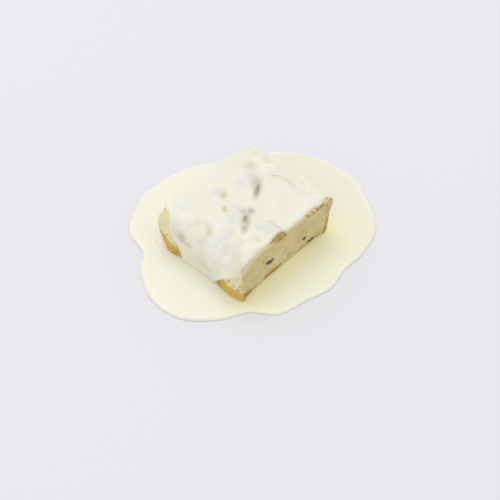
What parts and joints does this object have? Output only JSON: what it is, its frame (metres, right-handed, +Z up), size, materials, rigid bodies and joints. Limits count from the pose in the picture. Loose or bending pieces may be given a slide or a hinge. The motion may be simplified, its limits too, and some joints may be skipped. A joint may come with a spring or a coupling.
{
  "type": "quark strudel",
  "caption": "Slice of baked quark strudel: thin pastry round a quark and raisin filling, coated with white sauce and lying in a pool of it.",
  "frame": {"origin": "middle of the slice's flat underside, on the surface it lies on", "axes": "+X along the roll of the strudel, out of the knife cut that shows the filling; +Y across the roll, towards its far baked side; +Z up out of the pastry's top"},
  "size_m": [0.1494, 0.1739, 0.0346],
  "materials": {
    "baked_pastry": "golden brown, dry and slightly flaky",
    "quark": "moist and crumbly",
    "raisin": "wrinkled, slightly glossy",
    "sauce_on_slice": "thick, glossy white",
    "sauce_in_pool": "glossy pale cream"
  },
  "bodies": {
    "root": {"pastry": "baked_pastry", "quark_filling": "quark", "raisin_middle": "raisin", "raisin_low": "raisin", "raisin_small": "raisin", "sauce_coat": "sauce_on_slice", "sauce_pool": "sauce_in_pool"}
  },
  "joints": []
}
